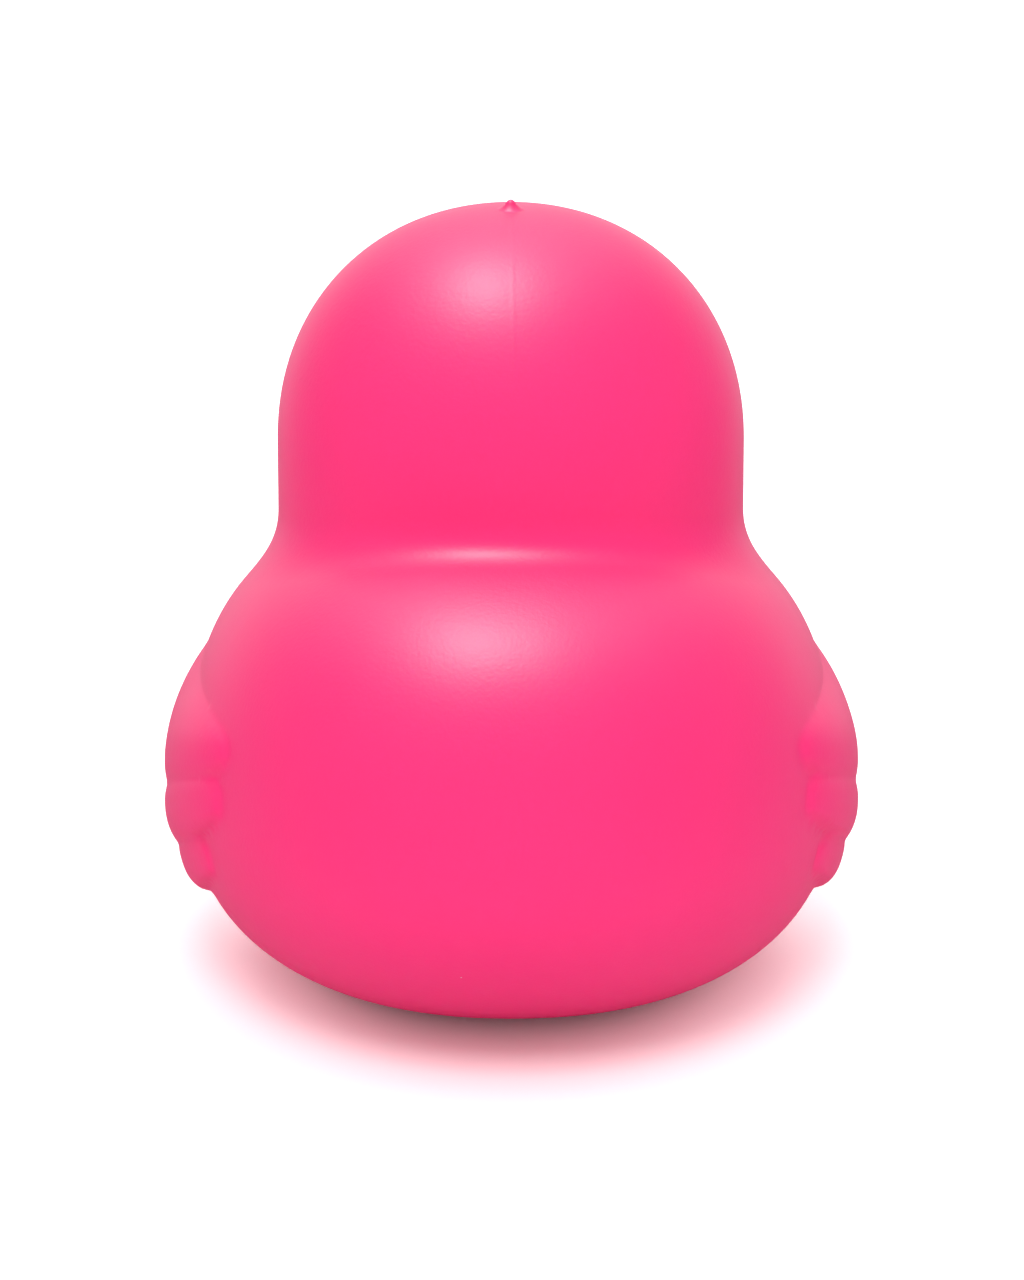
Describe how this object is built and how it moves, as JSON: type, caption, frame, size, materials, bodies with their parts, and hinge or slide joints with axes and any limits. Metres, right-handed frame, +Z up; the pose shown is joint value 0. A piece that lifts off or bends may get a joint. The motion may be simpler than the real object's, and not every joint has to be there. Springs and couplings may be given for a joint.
{
  "type": "squeeze toy duck",
  "caption": "Soft foam duck to squeeze in the hand, with a round head, a plump body, a short bill, raised eyes and feathered wings, standing on a flat underside.",
  "frame": {"origin": "under the middle of the duck's width and length, on the flat underside that it stands on", "axes": "+Z up, -Y the way the duck faces, +Y towards the tail, X across the wings"},
  "size_m": [0.0804, 0.0956, 0.0901],
  "materials": {
    "foam": "satin skin of self-skinned soft foam, pink right through, with a very fine leathery grain"
  },
  "bodies": {
    "root": {"duck_body": "foam"}
  },
  "joints": []
}
